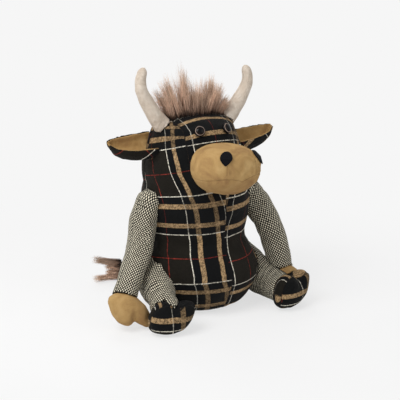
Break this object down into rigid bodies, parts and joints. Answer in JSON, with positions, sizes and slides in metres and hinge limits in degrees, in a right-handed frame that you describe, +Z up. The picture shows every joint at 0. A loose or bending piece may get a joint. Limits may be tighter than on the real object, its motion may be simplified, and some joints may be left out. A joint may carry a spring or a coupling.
{
  "type": "plush cow door stop",
  "caption": "Seated stuffed cow in tartan and tweed cloth with suede muzzle, horns and a weighted flat base that holds a door open.",
  "frame": {"origin": "centre of the flat underside of the base panel, on the floor", "axes": "+Z up, the cow faces -Y, and its own left is +X"},
  "size_m": [0.2825, 0.2513, 0.3276],
  "materials": {
    "tartan": "brushed wool-blend twill in a brown, black and tan check with white and red lines",
    "tweed": "cream and black-brown bird's-eye tweed",
    "tan_suede": "tan suede cloth with a short even nap",
    "horn_suede": "cream suede cloth with a soft nap",
    "hair": "long brown pile with lighter tips",
    "nostril_felt": "black felt",
    "eye_plastic": "glossy black and dark brown",
    "washer_plastic": "plain off-white moulding",
    "bag_calico": "plain unbleached calico"
  },
  "bodies": {
    "root": {"torso_head": "tartan", "weight_bag": "bag_calico", "base_panel": "tartan", "muzzle": "tan_suede", "nostril_right": "nostril_felt", "eye_right": "eye_plastic", "eye_washer_right": "washer_plastic", "ear_outer_right": "tartan", "ear_inner_right": "tan_suede", "horn_right": "horn_suede", "arm_right": "tweed", "hand_right": "tan_suede", "leg_right": "tweed", "foot_right": "tartan", "nostril_left": "nostril_felt", "eye_left": "eye_plastic", "eye_washer_left": "washer_plastic", "ear_outer_left": "tartan", "ear_inner_left": "tan_suede", "horn_left": "horn_suede", "arm_left": "tweed", "hand_left": "tan_suede", "leg_left": "tweed", "foot_left": "tartan", "forelock": "hair", "tail": "tartan", "tail_brush": "hair"}
  },
  "joints": []
}
